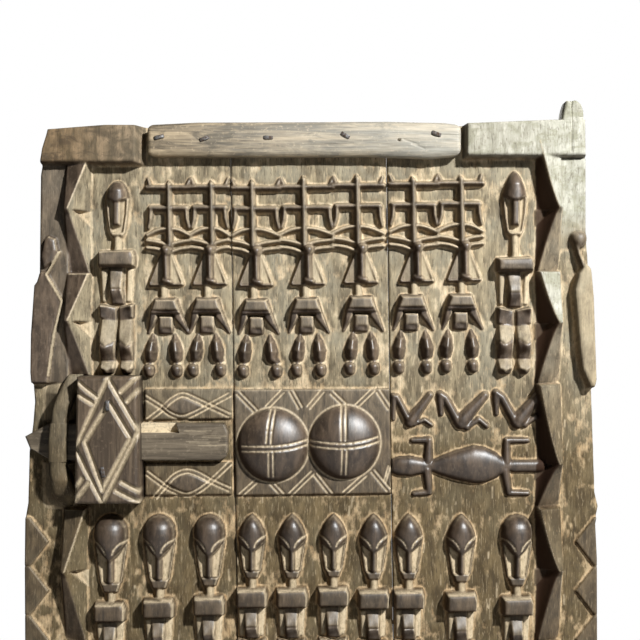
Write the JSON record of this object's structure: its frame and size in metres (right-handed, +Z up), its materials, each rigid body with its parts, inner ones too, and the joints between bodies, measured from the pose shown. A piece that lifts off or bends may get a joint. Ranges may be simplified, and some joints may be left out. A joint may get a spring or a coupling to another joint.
{
  "type": "dogon granary door",
  "caption": "Carved wooden granary door of joined planks with masked dancers, ancestor figures, breasts, a crocodile and a sliding tumbler lock, on carved pivots.",
  "frame": {"origin": "on the pivot axis, at the shoulder of the lower pivot (the door's bottom edge)", "axes": "+X along the door away from the lock, towards the pivot-side edge; +Z up along the pivot axis; the carved front faces -Y"},
  "size_m": [1.032, 0.1006, 1.322],
  "materials": {
    "carved_wood": "worn, waxed on the high parts",
    "batten_wood": "weathered",
    "lock_wood": "dark, polished by hands",
    "bolt_wood": "worn",
    "tumbler_wood": "worn",
    "iron": "hand-forged, rusted"
  },
  "bodies": {
    "door": {"left_plank": "carved_wood", "middle_plank": "carved_wood", "right_plank": "carved_wood", "top_batten": "batten_wood", "bottom_batten": "batten_wood", "top_batten_staples": "iron", "bottom_batten_staples": "iron", "back_staples": "iron", "lock_case": "lock_wood", "lock_case_staples": "iron"},
    "bolt": {"lock_bolt": "bolt_wood"},
    "tumbler_left": {"tumbler_left": "tumbler_wood"},
    "tumbler_middle": {"tumbler_middle": "tumbler_wood"},
    "tumbler_right": {"tumbler_right": "tumbler_wood"}
  },
  "joints": [
    {"name": "bolt_slide", "type": "slide", "parent": "door", "child": "bolt", "axis": [-1, 0, 0], "range_m": [0, 0.07]},
    {"name": "tumbler_left_lift", "type": "slide", "parent": "door", "child": "tumbler_left", "axis": [0, 0, 1], "range_m": [0, 0.008]},
    {"name": "tumbler_middle_lift", "type": "slide", "parent": "door", "child": "tumbler_middle", "axis": [0, 0, 1], "range_m": [0, 0.008]},
    {"name": "tumbler_right_lift", "type": "slide", "parent": "door", "child": "tumbler_right", "axis": [0, 0, 1], "range_m": [0, 0.008]}
  ]
}
